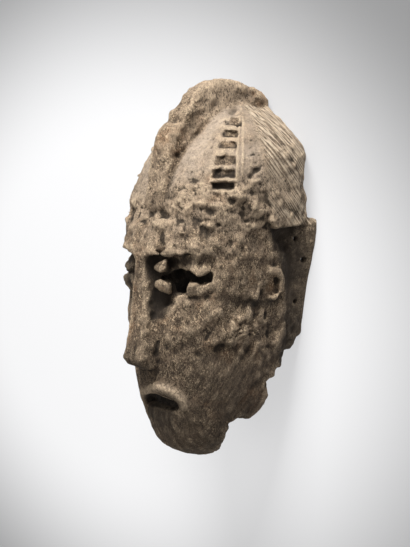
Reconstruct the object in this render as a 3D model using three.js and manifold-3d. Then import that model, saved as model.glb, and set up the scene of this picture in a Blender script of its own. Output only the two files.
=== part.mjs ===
// A weathered wooden face mask with a crest, carved from one block and hollowed out behind.
// Millimetres. It lies on its back edge: +Z out of the face, +Y towards the crest, +X to the mask's own left.
import * as THREE from 'three';
import { mergeVertices } from 'three/addons/utils/BufferGeometryUtils.js';
import Module from 'manifold-3d';

const wasm = await Module();
wasm.setup();

// Driving dimensions: heights up the mask, depths out of its face
const CHIN_Y = -222;
const BROW_BOTTOM_Y = 25;
const HAIRLINE_SIDE_Y = 50;
const HAIRLINE_FRONT_Y = 66;
const WORN_TOP_Y = 90; // where the rotted part of the cap's edge begins
const CROWN_Y = 187;
const BACK_Z = 0; // the cut back edge, which the mask lies on
const BEHIND_Z = -60; // where face sections would close, behind that edge
const PLATE_JOIN_Z = 34; // the side plates run from here to the back edge
const FACE_MIDDLE_Z = 75; // depth of the widest place of a face section
const CAP_MIDDLE_Z = 52;
const CREST_THICKNESS = 32;
const NOSE_WIDTH = 28;
const PLATE_THICKNESS = 10;
const RING_POINTS = 44;
const FAR = 400; // longer than the mask, for cutting blocks

// Sections of the bare face: height, half width, depth in front, depth of the widest place, squareness
const FACE_SECTIONS = [
  { y: CHIN_Y, half: 9, front: 110, middle: 98, square: 2.0 },
  { y: -214, half: 28, front: 134, middle: 98, square: 2.1 },
  { y: -201, half: 43, front: 151, middle: 98, square: 2.2 },
  { y: -174, half: 56, front: 163, middle: 94, square: 2.2 },
  { y: -151, half: 65, front: 171, middle: 88, square: 2.2 },
  { y: -119, half: 72, front: 177, middle: 84, square: 2.2 },
  { y: -60, half: 80, front: 180, middle: 78, square: 2.4 },
  { y: -25, half: 83, front: 175, middle: FACE_MIDDLE_Z, square: 2.5 },
  { y: 5, half: 85, front: 170, middle: FACE_MIDDLE_Z, square: 2.5 },
  { y: 60, half: 86, front: 172, middle: FACE_MIDDLE_Z, square: 2.5 },
];

// The forehead band, which overhangs the eyes and ends above in a groove
const BROW_SECTIONS = [
  { y: BROW_BOTTOM_Y, half: 80, front: 190, square: 2.6 },
  { y: 42, half: 82, front: 184, square: 2.5 },
  { y: 56, half: 84, front: 177, square: 2.4 },
  { y: 64, half: 84, front: 164, square: 2.4 },
  { y: 75, half: 84, front: 160, square: 2.4 },
];

// The cap of hair, with the depth that its sections would reach behind the back edge
const CAP_SECTIONS = [
  { y: 40, half: 96, front: 166, back: -10, square: 3.0 },
  { y: 66, half: 96, front: 167, back: -10, square: 3.0 },
  { y: 79, half: 96, front: 166, back: -10, square: 2.9 },
  { y: 92, half: 95, front: 162, back: -10, square: 2.6 },
  { y: 108, half: 95, front: 155, back: -15, square: 2.4 },
  { y: 132, half: 93, front: 139, back: -24, square: 2.3 },
  { y: 154, half: 75, front: 117, back: -14, square: 2.2 },
  { y: 170, half: 53, front: 98, back: -5, square: 2.2 },
  { y: 181, half: 31, front: 77, back: 0, square: 2.1 },
  { y: CROWN_Y, half: 9, front: 57, back: 30, square: 2.0 },
];

// The stretch of the cap whose lower edge has rotted back to the forehead, between two bearings
const WORN_SECTIONS = [
  { y: 40, half: 81, front: 183, back: -10, square: 2.5 },
  { y: 54, half: 87, front: 179, back: -10, square: 2.5 },
  { y: 70, half: 93, front: 171, back: -10, square: 2.6 },
];
const WORN_BEARINGS = [12, 70];

// The hollow behind the face, open at the back and rounded off inside the crown
const HOLLOW_SECTIONS = [
  { y: -207, half: 12, front: 112, middle: 96, back: -120, square: 2.0 },
  { y: -196, half: 29, front: 136, middle: 96, back: -120, square: 2.1 },
  { y: -174, half: 41, front: 147, middle: 92, back: -120, square: 2.2 },
  { y: -142, half: 50, front: 155, middle: 86, back: -120, square: 2.2 },
  { y: -100, half: 60, front: 160, middle: 80, back: -120, square: 2.3 },
  { y: -30, half: 68, front: 157, middle: 75, back: -120, square: 2.5 },
  { y: 20, half: 68, front: 154, middle: 72, back: -120, square: 2.5 },
  { y: 52, half: 68, front: 153, middle: 62, back: -60, square: 2.4 },
  { y: 80, half: 73, front: 148, middle: CAP_MIDDLE_Z, back: -24, square: 2.3 },
  { y: 108, half: 74, front: 138, middle: CAP_MIDDLE_Z, back: -22, square: 2.2 },
  { y: 140, half: 63, front: 116, middle: 48, back: -20, square: 2.2 },
  { y: 160, half: 40, front: 86, middle: 40, back: -14, square: 2.1 },
  { y: 170, half: 14, front: 54, middle: 34, back: 0, square: 2.0 },
];

const mix = THREE.MathUtils.lerp;
const degrees = THREE.MathUtils.degToRad;
const rounded = (v, power) => Math.sign(v) * Math.abs(v) ** power;

// Heights that step evenly from one to another.
const heights = (from, to, steps) => Array.from({ length: steps + 1 }, (_, i) => mix(from, to, i / steps));

// A smooth curve through the rows' values that doesn't overshoot between them.
function smoothThrough(rows, key, y) {
  const last = rows.length - 1;
  const above = rows.findIndex((row) => row.y > y);
  const k = above < 0 ? last - 1 : Math.max(above - 1, 0);
  const slope = (n) => (rows[n + 1][key] - rows[n][key]) / (rows[n + 1].y - rows[n].y);
  const tangent = (n) => {
    if (n === 0) return slope(0);
    if (n === last) return slope(last - 1);
    const [a, b] = [slope(n - 1), slope(n)];
    return a * b <= 0 ? 0 : (2 * a * b) / (a + b);
  };
  const step = rows[k + 1].y - rows[k].y;
  const t = THREE.MathUtils.clamp((y - rows[k].y) / step, 0, 1);
  return (
    rows[k][key] * (2 * t ** 3 - 3 * t ** 2 + 1) +
    tangent(k) * step * (t ** 3 - 2 * t ** 2 + t) +
    rows[k + 1][key] * (3 * t ** 2 - 2 * t ** 3) +
    tangent(k + 1) * step * (t ** 3 - t ** 2)
  );
}

// The section of a form at one height. A measure that its rows leave out is the one given for all of it.
function sectionAt(rows, y, shared) {
  const read = (key) => (key in rows[0] ? smoothThrough(rows, key, y) : shared[key]);
  const measures = ['half', 'front', 'middle', 'back', 'square'].map((key) => [key, read(key)]);
  return { y, ...Object.fromEntries(measures) };
}

// A section's outline as points, going round from the front.
function ring(section, count) {
  return Array.from({ length: count }, (_, i) => {
    const angle = (i / count) * 2 * Math.PI;
    const [s, c] = [Math.sin(angle), Math.cos(angle)];
    const reach = c > 0 ? section.front - section.middle : section.middle - section.back;
    return new THREE.Vector3(
      section.half * rounded(s, 2 / section.square),
      section.y,
      section.middle + reach * rounded(c, 2 / section.square),
    );
  });
}

// A three.js geometry as a solid that can be joined and cut.
function solid(geometry) {
  const bare = new THREE.BufferGeometry().setAttribute('position', geometry.getAttribute('position'));
  const merged = mergeVertices(bare.setIndex(geometry.index), 1e-4);
  const mesh = new wasm.Mesh({
    numProp: 3,
    vertProperties: new Float32Array(merged.attributes.position.array),
    triVerts: new Uint32Array(merged.index.array),
  });
  return new wasm.Manifold(mesh);
}

const join = (...parts) => parts.reduce((whole, part) => whole.add(part));
const cut = (whole, ...parts) => parts.reduce((rest, part) => rest.subtract(part), whole);
const onSide = (side, made) => (side > 0 ? made : made.mirror([1, 0, 0]));

// One closed solid through rings of equal point counts, with a flat fan at each end.
function loft(rings) {
  const count = rings[0].length;
  const points = rings.flat();
  const faces = [];
  for (let level = 0; level < rings.length - 1; level++) {
    for (let i = 0; i < count; i++) {
      const [a, b] = [level * count + i, level * count + ((i + 1) % count)];
      faces.push(a, b, a + count, b, b + count, a + count);
    }
  }
  const middleOf = (list) => list.reduce((sum, p) => sum.add(p), new THREE.Vector3()).divideScalar(count);
  const first = points.push(middleOf(rings[0])) - 1;
  const final = points.push(middleOf(rings.at(-1))) - 1;
  const top = (rings.length - 1) * count;
  for (let i = 0; i < count; i++) {
    const next = (i + 1) % count;
    faces.push(first, next, i);
    faces.push(final, top + i, top + next);
  }
  const geometry = new THREE.BufferGeometry().setFromPoints(points);
  return solid(geometry.setIndex(faces));
}

// A form through its sections at the given heights
function form(rows, levels, shared, count = RING_POINTS) {
  return loft(levels.map((y) => ring(sectionAt(rows, y, shared), count)));
}

// Everything behind one depth
function behind(z) {
  const size = 2 * FAR;
  return solid(new THREE.BoxGeometry(size, size, size).translate(0, 0, z - FAR));
}

// An outline in the side view, as [depth, height] pairs, as a slab across the mask from x = low to x = high.
function sideSlab(outline, low, high, bevel = 0) {
  const shape = new THREE.Shape(outline.map(([z, y]) => new THREE.Vector2(z, y)));
  const geometry = new THREE.ExtrudeGeometry(shape, {
    depth: high - low - 2 * bevel,
    bevelEnabled: bevel > 0,
    bevelThickness: bevel,
    bevelSize: bevel,
    bevelOffset: -bevel,
    bevelSegments: 2,
  });
  return geometry.translate(0, 0, bevel - high).rotateY(-Math.PI / 2);
}

// A slab whose thickness changes with the height
function tapered(geometry, factorAt) {
  const place = geometry.getAttribute('position');
  for (let i = 0; i < place.count; i++) place.setX(i, place.getX(i) * factorAt(place.getY(i)));
  return solid(geometry);
}

// An egg-shaped scoop, for hollows in the surface
function scoop(side, centre, radii) {
  const egg = new THREE.SphereGeometry(1, 20, 14).scale(...radii);
  return onSide(side, solid(egg.translate(...centre)));
}

// The sunk temple under the cap's overhanging edge
const temple = (side) => scoop(side, [98, 42, 48], [21, 34, 27]);

// The dark hollow beside the root of the nose
const socket = (side) => scoop(side, [29, 0, 187], [19, 58, 29]);

// Face and forehead band, which end where the side plates take over
function face() {
  const levels = [CHIN_Y, -219, -214.5, -208, -199, ...heights(-188, 60, 16)];
  const bare = form(FACE_SECTIONS, levels, { back: BEHIND_Z });
  const sunk = cut(bare, ...[1, -1].flatMap((side) => [temple(side), socket(side)]));
  const browLevels = [BROW_BOTTOM_Y, 33, 42, 50, 56, 60, 64, 75];
  const brow = form(BROW_SECTIONS, browLevels, { middle: FACE_MIDDLE_Z, back: BEHIND_Z });
  return cut(join(sunk, brow), behind(PLATE_JOIN_Z));
}

// The crown's axis. A bearing is measured about it: 0 is to the front, 90 to the mask's left.
const APEX = new THREE.Vector3(12, CROWN_Y, 45);
const bearingPoint = (bearing, reach) => [
  APEX.x + Math.sin(degrees(bearing)) * reach,
  APEX.z + Math.cos(degrees(bearing)) * reach,
];

// Where a level line at height y, leaving the crown's axis at a bearing, meets the cap.
function capPoint(y, bearing) {
  const s = sectionAt(CAP_SECTIONS, y, { middle: CAP_MIDDLE_Z });
  const outside = (reach) => {
    const [x, z] = bearingPoint(bearing, reach);
    const depth = z > s.middle ? s.front - s.middle : s.middle - s.back;
    return Math.abs(x / s.half) ** s.square + Math.abs((z - s.middle) / depth) ** s.square > 1;
  };
  let [near, wide] = [0, FAR];
  for (let i = 0; i < 30; i++) {
    const half = (near + wide) / 2;
    if (outside(half)) wide = half;
    else near = half;
  }
  const [x, z] = bearingPoint(bearing, near);
  return new THREE.Vector3(x, y, z);
}

// The wedge of the cap that has rotted back, below its top
function wornWedge() {
  const corners = [[APEX.x, APEX.z], ...WORN_BEARINGS.map((bearing) => bearingPoint(bearing, FAR))];
  const shape = new THREE.Shape(corners.map(([x, z]) => new THREE.Vector2(x, z)));
  const geometry = new THREE.ExtrudeGeometry(shape, { depth: 130, bevelEnabled: false });
  return solid(geometry.rotateX(Math.PI / 2).translate(0, WORN_TOP_Y, 0));
}

// The cap of hair, whose edge slants from the forehead down to the temples
function cap() {
  const shared = { middle: CAP_MIDDLE_Z };
  const levels = [40, 50, 58, 66, 74, 82, 91, 100, 110, 120, 130, 140, 148, 156, 163, 169, 174, 178];
  const whole = form(CAP_SECTIONS, [...levels, 181.5, 184.5, 186.2, CROWN_Y], shared);
  const hairline = [
    [-FAR, -FAR],
    [FAR, -FAR],
    [FAR, HAIRLINE_FRONT_Y],
    [170, HAIRLINE_FRONT_Y],
    [50, HAIRLINE_SIDE_Y],
    [-FAR, HAIRLINE_SIDE_Y],
  ];
  const wedge = wornWedge();
  const kept = cut(whole, solid(sideSlab(hairline, -FAR, FAR)), behind(BACK_Z), wedge);
  const rows = [...WORN_SECTIONS, sectionAt(CAP_SECTIONS, WORN_TOP_Y, shared)];
  const worn = form(rows, [42, 49, 56, 63, 70, 77, 84, WORN_TOP_Y], shared).intersect(wedge);
  return join(kept, worn);
}

// The tall fin from the forehead over the crown, thinner at its top, with steps where it has broken
function crest() {
  const rim = [
    [168, 70], [169, 86], [167, 104], [162, 132], [157, 148], [152, 158], [145, 166], [137, 171],
    [136, 181], [124, 190], [118, 198], [104, 208], [86, 214.5], [70, 216], [50, 214], [30, 209],
    [12, 202], [4, 195], [3, 187], [7, 178],
  ];
  const curve = new THREE.SplineCurve(rim.map(([z, y]) => new THREE.Vector2(z, y)));
  const foot = [[30, 150], [90, 120], [138, 84], [148, 68]];
  const outline = [...curve.getPoints(46).map((p) => [p.x, p.y]), ...foot];
  const slab = sideSlab(outline, -CREST_THICKNESS / 2, CREST_THICKNESS / 2, 6);
  return tapered(slab, (y) => mix(1, 0.82, THREE.MathUtils.smoothstep(y, 150, 215)));
}

// The long straight nose, wider at its wings
function nose() {
  const outline = [
    [150, 30], [188, 30], [190, 5], [192, -35], [195, -62], [199, -84], [203, -97], [202, -103],
    [196, -108], [184, -112], [168, -111], [150, -60],
  ];
  const slab = sideSlab(outline, -NOSE_WIDTH / 2, NOSE_WIDTH / 2, 3.5);
  return tapered(slab, (y) => mix(0.8, 1.22, THREE.MathUtils.smoothstep(-y, -30, 95)));
}

// A round bar along a curve, drawn in towards both ends
function bar(points, radius, steps) {
  const sides = 10;
  const path = new THREE.CatmullRomCurve3(points.map((p) => new THREE.Vector3(...p)));
  const { normals, binormals } = path.computeFrenetFrames(steps);
  const rings = normals.map((normal, step) => {
    const size = radius * Math.max(0.4, Math.sin((Math.PI * step) / steps) ** 0.3);
    return Array.from({ length: sides }, (_, i) => {
      const turn = (i / sides) * 2 * Math.PI;
      return path
        .getPointAt(step / steps)
        .addScaledVector(normal, size * Math.cos(turn))
        .addScaledVector(binormals[step], size * Math.sin(turn));
    });
  });
  return loft(rings);
}

// The arched upper lip, which folds down round the corners of the mouth, and the low lower lip
function lips() {
  const upper = [
    [-37, -157, 146], [-31, -146, 154], [-18, -136, 164], [0, -132, 170], [19, -134, 170],
    [32, -141, 162.5], [38, -151, 155.5],
  ];
  const lower = [[-24, -162, 156], [0, -164, 161], [25, -162, 157]];
  return join(bar(upper, 7, 18), bar(lower, 5, 8));
}

// The half-moon mouth, cut right through
function mouthHole() {
  const shape = new THREE.Shape();
  shape.moveTo(-29, -157);
  shape.quadraticCurveTo(-26, -143, 0, -141);
  shape.quadraticCurveTo(26, -143, 29, -157);
  shape.lineTo(0, -156);
  const geometry = new THREE.ExtrudeGeometry(shape, { depth: 120, bevelEnabled: false, curveSegments: 6 });
  return solid(geometry.translate(0, 0, 100));
}

// An eye looks out along its bearing. Outlines round it are [outwards, up] from its centre.
const EYE = {
  centre: new THREE.Vector3(48, -6, 161.5),
  bearing: degrees(42),
  ball: new THREE.Vector3(39, 27, 18),
  ballDepth: 9,
};

function lookingOut(geometry) {
  return geometry.rotateY(EYE.bearing).translate(EYE.centre.x, EYE.centre.y, EYE.centre.z);
}

function eyePrism(outline, side, near, far) {
  const shape = new THREE.Shape(outline.map(([out, up]) => new THREE.Vector2(out, up)));
  const geometry = new THREE.ExtrudeGeometry(shape, { depth: far - near, bevelEnabled: false });
  return onSide(side, solid(lookingOut(geometry.translate(0, 0, near))));
}

// What is left of the lids round each eye: stubs and teeth that the weather has spared
const LIDS = {
  left: [
    [[-34, 24], [-34, 11], [-30, 7], [-22, 7], [-20, 24]],
    [[-35, -2], [-35, -12], [-26, -20], [-17, -19], [-15, -10], [-20, -2]],
    [[4, -5], [3, -18], [12, -23], [26, -21], [33, -12], [34, -4], [18, -5], [9, -4]],
    [[10, 24], [10, 12], [15, 4], [20, 3], [28, 10], [31, 24]],
  ],
  right: [
    [[-34, 24], [-33, 9], [-22, 6], [-8, 8], [-4, 24]],
    [[-34, -2], [-35, -13], [-24, -20], [6, -22], [26, -20], [34, -11], [33, -3], [4, -6], [-12, -4]],
    [[16, 24], [14, 12], [22, 7], [34, 9], [35, 24]],
  ],
};

// The ragged openings between them
const EYE_HOLES = {
  left: [
    [-31, 3], [-31, -2], [-20, -2], [-15, -10], [-12, -18], [2, -17], [4, -5], [18, -6], [31, -4],
    [33, 6], [28, 10], [20, 5], [15, 7], [9, 13], [-8, 12], [-14, 9], [-20, 5],
  ],
  right: [
    [-31, 4], [-31, -2], [-12, -4], [4, -6], [33, -3], [34, 7], [22, 7], [13, 12], [-3, 11], [-9, 7],
  ],
};

// The swell of an eyeball under its lids, as far as the lids remain
function eyelids(side) {
  const ball = new THREE.SphereGeometry(1, 32, 20).scale(EYE.ball.x, EYE.ball.y, EYE.ball.z);
  const swell = onSide(side, solid(lookingOut(ball.translate(0, 0, -EYE.ballDepth))));
  const lids = (side > 0 ? LIDS.left : LIDS.right).map((outline) => eyePrism(outline, side, -30, 60));
  return join(...lids.map((lid) => swell.intersect(lid)));
}

// The plates behind the ears, which flare outwards to the back edge
function plate(side) {
  const [lowest, highest] = [-125, 56];
  const widths = [
    { y: lowest, half: 58 },
    { y: -81, half: 67 },
    { y: -51, half: 72 },
    { y: -32, half: 75.5 },
    { y: -13, half: 80 },
    { y: 8, half: 86.5 },
    { y: 25, half: 90.5 },
    { y: 44, half: 94 },
    { y: highest, half: 93.5 },
  ];
  const frontZ = PLATE_JOIN_Z + 8; // lapped into the cheek
  const rings = heights(lowest, highest, 14).map((y) => {
    const edge = smoothThrough(widths, 'half', y);
    const cheek = smoothThrough(FACE_SECTIONS, 'half', y) - 3;
    const front = mix(edge, cheek, 0.92);
    return [
      [edge, BACK_Z],
      [edge - PLATE_THICKNESS, BACK_Z],
      [front - PLATE_THICKNESS - 3, frontZ],
      [front, frontZ],
      [mix(edge, front, 0.55) - 2, frontZ / 2],
    ].map(([x, z]) => new THREE.Vector3(x, y, z));
  });
  return onSide(side, cut(loft(rings), temple(1)));
}

// The holes in each plate for lashing a costume or a cord
function lashingHoles(side) {
  const holes = [
    { y: 34, z: 25, radius: 3 },
    { y: 8, z: 11, radius: 3.6 },
    { y: -41, z: 15, radius: 2.6 },
  ];
  return holes.map(({ y, z, radius }) => {
    const drill = new THREE.CylinderGeometry(radius, radius, 60, 10).rotateZ(Math.PI / 2);
    return solid(drill.translate(side * 88, y, z));
  });
}

// A small ear like a C, open to the front
function ear(side) {
  const centre = new THREE.Vector3(84.5, -16, 61);
  const points = heights(-125, 125, 8).map((angle) => [
    side * centre.x,
    centre.y + 16 * Math.sin(degrees(angle)),
    centre.z - 12 * Math.cos(degrees(angle)),
  ]);
  return bar(points, 4.5, 16);
}

// The jaw's lower back edge, worn away in steps: [depth, height] from the side plate to the chin
const JAW_EDGE = {
  left: [
    [-10, -77], [7, -84], [11, -93], [17, -98], [27, -97], [28, -107], [35, -118], [41, -116],
    [44, -131], [46, -145], [50, -161], [60, -171], [73, -178], [87, -172], [91, -180], [95, -186],
    [99, -194], [97, -201], [92, -213], [80, -240],
  ],
  right: [
    [-10, -84], [6, -86], [12, -98], [18, -96], [30, -108], [38, -106], [46, -122], [58, -130],
    [62, -144], [70, -147], [78, -162], [84, -176], [92, -180], [96, -194], [95, -206], [84, -240],
  ],
};

function jawCutter(side) {
  const edge = side > 0 ? JAW_EDGE.left : JAW_EDGE.right;
  const outline = [...edge, [BEHIND_Z, -240], [BEHIND_Z, edge[0][1]]];
  return solid(side > 0 ? sideSlab(outline, 0, FAR) : sideSlab(outline, -FAR, 0));
}

// The ladder of square sinkings down each side of the cap
function ladder(side) {
  const bearing = 37.5;
  const sinkings = [
    { y: 168.5, width: 19, height: 8.5 },
    { y: 156.5, width: 20, height: 8.5 },
    { y: 144.5, width: 21, height: 8.5 },
    { y: 128, width: 23, height: 11 },
    { y: 112, width: 24, height: 11 },
    { y: 98.5, width: 25, height: 11 },
  ];
  return sinkings.map(({ y, width, height }) => {
    const at = capPoint(y, bearing);
    const up = capPoint(y + 2, bearing).sub(capPoint(y - 2, bearing)).normalize();
    const across = capPoint(y, bearing + 2).sub(capPoint(y, bearing - 2)).normalize();
    const out = new THREE.Vector3().crossVectors(across, up).normalize();
    const level = new THREE.Vector3().crossVectors(up, out).normalize();
    const stand = new THREE.Matrix4().makeBasis(level, up, out).setPosition(at.addScaledVector(out, 1));
    return onSide(side, solid(new THREE.BoxGeometry(width, height, 12).applyMatrix4(stand)));
  });
}

function carve() {
  const hollowLevels = [-207, -203, -197, ...heights(-188, 52, 9), 66, 80, 100, 120, 135, 147, 157];
  const hollow = form(HOLLOW_SECTIONS, [...hollowLevels, 164, 168.5, 170], {}, 28);
  const sides = [1, -1];
  const raised = join(face(), cap(), crest(), nose(), lips(), ...sides.map(eyelids), ...sides.map(ear));
  const shell = join(cut(raised, hollow), ...sides.map(plate));
  const eyeHoles = [eyePrism(EYE_HOLES.left, 1, -50, 60), eyePrism(EYE_HOLES.right, -1, -50, 60)];
  const worn = cut(shell, mouthHole(), ...eyeHoles, ...sides.map(jawCutter));
  return cut(worn, ...sides.flatMap(lashingHoles), ...sides.flatMap(ladder));
}

// The biggest closed body of a carving, without the crumbs and slivers that cuts leave.
const SLIVER = 0.02;
function biggest(whole) {
  const bodies = whole.asOriginal().simplify(SLIVER).decompose();
  return bodies.sort((a, b) => b.volume() - a.volume())[0];
}

function meshOf(made, name, material) {
  const { vertProperties, triVerts } = made.getMesh();
  const geometry = new THREE.BufferGeometry();
  geometry.setAttribute('position', new THREE.BufferAttribute(new Float32Array(vertProperties), 3));
  geometry.setIndex(new THREE.BufferAttribute(new Uint32Array(triVerts), 1));
  const mesh = new THREE.Mesh(geometry, material);
  mesh.name = name;
  return mesh;
}

const weatheredWood = new THREE.MeshStandardMaterial({ color: 0x8a7761, roughness: 0.9, metalness: 0 });
const mask = meshOf(biggest(carve()), 'mask', weatheredWood);

// The origin is under the middle of the mask's box, on the plane that it lies on.
const box = new THREE.Box3().setFromObject(mask);
const centre = box.getCenter(new THREE.Vector3());
mask.position.set(-centre.x, -centre.y, -box.min.z);

const group = new THREE.Group();
group.add(mask);
export default group;
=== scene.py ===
# %% [markdown]
# # A weathered wooden mask
# The mask is one block of wood: a face with a crest, hollowed out behind so that it can be worn. Years of
# weather have rounded its edges, opened its pores and eaten into the forehead and the jaw.
# The carved solid that this script loads has the right size and all the main forms, but every surface of it
# is smooth and every edge is crisp. This file ages it: it softens the carving, roughens it zone by zone,
# cuts the pattern of the hair anew, and then gives the wood its colour.

# %% Load the carved solid
import bpy
import math
import numpy as np
import openvdb as vdb
from mathutils import Matrix, Vector


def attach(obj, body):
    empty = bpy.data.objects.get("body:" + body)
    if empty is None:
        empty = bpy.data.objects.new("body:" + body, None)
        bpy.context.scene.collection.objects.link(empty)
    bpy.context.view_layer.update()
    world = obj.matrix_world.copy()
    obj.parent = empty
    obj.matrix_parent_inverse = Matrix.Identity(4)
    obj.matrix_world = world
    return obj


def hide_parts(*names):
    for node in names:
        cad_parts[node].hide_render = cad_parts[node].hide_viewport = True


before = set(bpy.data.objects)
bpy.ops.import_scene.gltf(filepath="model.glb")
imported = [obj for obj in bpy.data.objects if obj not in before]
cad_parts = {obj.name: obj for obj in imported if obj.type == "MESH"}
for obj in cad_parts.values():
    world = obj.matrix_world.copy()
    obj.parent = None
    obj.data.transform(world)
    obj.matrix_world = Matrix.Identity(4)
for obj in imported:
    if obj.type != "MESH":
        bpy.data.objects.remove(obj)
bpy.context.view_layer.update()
MM = 0.001  # Blender works in metres; the mask is easier to think about in millimetres

# %% [markdown]
# ## Where we look from
# The mask lies on its back edge, its face to the sky. The photograph shows it upright and turned a little,
# so the camera hangs over its left cheek and is rolled until the crest points to the top of the picture.
# A camera's rotation can be typed in as angles, but here the three directions of the picture are worked
# out first: towards the camera, to the right of the picture and up it. Side by side they are its matrix.

# %% Camera
TURN = math.radians(50)  # the camera's turn from straight in front of the face towards its left ear
LIFT = math.radians(7)  # and towards the crest
PICTURE_HEIGHT = 547  # pixels
SHARPNESS = 0.855 / MM  # pixels to a metre at the mask
LOOK_AT = Vector((-1.9, -6.7, 90)) * MM
CAMERA_DISTANCE = 2.4

towards = Vector((math.sin(TURN) * math.cos(LIFT), math.sin(LIFT), math.cos(TURN) * math.cos(LIFT)))
rightwards = Vector((math.cos(TURN), 0, -math.sin(TURN)))
upwards = towards.cross(rightwards)

camera_data = bpy.data.cameras.new("camera")
camera_data.sensor_width = 36
camera_data.lens = camera_data.sensor_width * CAMERA_DISTANCE * SHARPNESS / PICTURE_HEIGHT
camera = bpy.data.objects.new("camera", camera_data)
axes = Matrix((rightwards, upwards, towards)).transposed()
camera.matrix_world = Matrix.Translation(LOOK_AT + towards * CAMERA_DISTANCE) @ axes.to_4x4()
bpy.context.scene.collection.objects.link(camera)
bpy.context.scene.camera = camera
print("lens", round(camera_data.lens), "mm")

# %% [markdown]
# ## Floor
# A sheet of pale paper on a light table, with a painted pool of light that is lightest beside the mask. One
# large square is enough, because the camera looks down on it. Its colour fades outwards through a spherical
# gradient. A sheet that only reflects would show a heavy shadow beside the mask, so it glows a little as
# well, as it does when it is lit from below, and that evens the shadow out. Under the mask a second gradient
# paints the paper black as painted shade, or the light would shine through the eyes.


# %% Small helpers for node trees
def new_material(name):
    material = bpy.data.materials.new(name)
    material.use_nodes = True
    tree = material.node_tree
    return material, tree, tree.nodes["Principled BSDF"]


def add_node(tree, kind, values=None, **settings):
    node = tree.nodes.new(kind)
    for key, value in settings.items():
        setattr(node, key, value)
    for socket, value in (values or {}).items():
        node.inputs[socket].default_value = value
    return node


def layered(tree, under, over, share):
    """One colour over another, as far as a value says. A colour is three numbers or a node's output."""
    node = add_node(tree, "ShaderNodeMix", data_type="RGBA")
    tree.links.new(share, node.inputs["Factor"])
    for socket, colour in (("A", under), ("B", over)):
        target = next(s for s in node.inputs if s.name == socket and s.type == "RGBA")
        if isinstance(colour, tuple):
            target.default_value = (*colour, 1)
        else:
            tree.links.new(colour, target)
    return next(s for s in node.outputs if s.type == "RGBA")


# %% Tones of the paper: a painted pool of light, and painted shade under the mask
FLOOR_SIZE = 8.0  # the floor's sizes and places are in metres
# The paper's tones paint a pool of light round the mask, and paint shade black under it.
PAINTED_LIGHT_PLACE, PAINTED_LIGHT_REACH = (-0.245, -0.085, 0), (0.74, 0.53, 1)
PAINTED_SHADE_PLACE, PAINTED_SHADE_REACH = (0, 0.035, 0), (0.07, 0.13, 1)
FULLY_BLACK = 0.3  # how far into the painted shade under the mask the paper is fully black
FULLY_LIGHT = 0.6  # how far in from the fade's edge it has its lightest tone
BLACK = (0.004, 0.004, 0.004)
TONES = [("Base Color", 0.06, 0.26), ("Emission Color", 0.18, 0.57)]  # darkest and lightest
COOLNESS = 1.01  # how much stronger the blue is than the red

paper, tree, shader = new_material("paper")
place = add_node(tree, "ShaderNodeTexCoord")


def gradient_round(middle, reach):
    """1 at a place on the floor, falling to 0 at its reach along each axis."""
    ellipse = {"Location": middle, "Scale": reach}
    shrink = add_node(tree, "ShaderNodeMapping", ellipse, vector_type="TEXTURE")
    fade = add_node(tree, "ShaderNodeTexGradient", gradient_type="SPHERICAL")
    tree.links.new(place.outputs["Object"], shrink.inputs["Vector"])
    tree.links.new(shrink.outputs["Vector"], fade.inputs["Vector"])
    return fade.outputs["Fac"]


painted_light_pool = gradient_round(PAINTED_LIGHT_PLACE, PAINTED_LIGHT_REACH)
outside_painted_shade = add_node(tree, "ShaderNodeMapRange", {"From Min": FULLY_BLACK, "From Max": 0.0})
tree.links.new(gradient_round(PAINTED_SHADE_PLACE, PAINTED_SHADE_REACH), outside_painted_shade.inputs["Value"])
for socket, darkest, lightest in TONES:
    tone = add_node(tree, "ShaderNodeValToRGB")
    tone.color_ramp.interpolation = "EASE"
    tone.color_ramp.elements[0].color = (darkest, darkest, darkest * COOLNESS, 1)
    tone.color_ramp.elements[1].color = (lightest, lightest, lightest * COOLNESS, 1)
    tone.color_ramp.elements[1].position = FULLY_LIGHT
    tree.links.new(painted_light_pool, tone.inputs["Fac"])
    shaded = layered(tree, BLACK, tone.outputs["Color"], outside_painted_shade.outputs["Result"])
    tree.links.new(shaded, shader.inputs[socket])
shader.inputs["Emission Strength"].default_value = 1.0
shader.inputs["Roughness"].default_value = 0.9

# %% Floor
bpy.ops.mesh.primitive_plane_add(size=FLOOR_SIZE)
floor = bpy.context.object
floor.name = "floor"
floor.data.materials.append(paper)
print("floor", FLOOR_SIZE, "m wide")

# %% [markdown]
# ## Light
# Soft studio light from above the crest: shadows fall towards the chin, and the undersides of the brow, the
# nose and the hair go dark. Area lamps give that softness by their size. A second, weaker one hangs over
# the face, and the world's even glow fills the rest.


# %% Lamps and sky
def add_lamp(name, direction, distance, size, power):
    lamp_data = bpy.data.lights.new(name, "AREA")
    lamp_data.size = size
    lamp_data.energy = power
    lamp = bpy.data.objects.new(name, lamp_data)
    lamp.location = LOOK_AT + direction.normalized() * distance
    lamp.rotation_euler = (-direction).to_track_quat("-Z", "Y").to_euler()
    bpy.context.scene.collection.objects.link(lamp)


SKY_GLOW = 0.36
add_lamp("key", Vector((0.17, 0.88, 0.42)), distance=2.6, size=1.3, power=172)
add_lamp("overhead", Vector((0.1, -0.15, 1.0)), distance=2.6, size=1.8, power=16)
sky = bpy.data.worlds.new("sky")
sky.use_nodes = True
glow = sky.node_tree.nodes["Background"]
glow.inputs["Color"].default_value = (1, 1, 1, 1)
glow.inputs["Strength"].default_value = SKY_GLOW
bpy.context.scene.world = sky
bpy.context.scene.view_settings.view_transform = "Standard"
print("lamps:", [lamp.name for lamp in bpy.data.lights])

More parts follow.
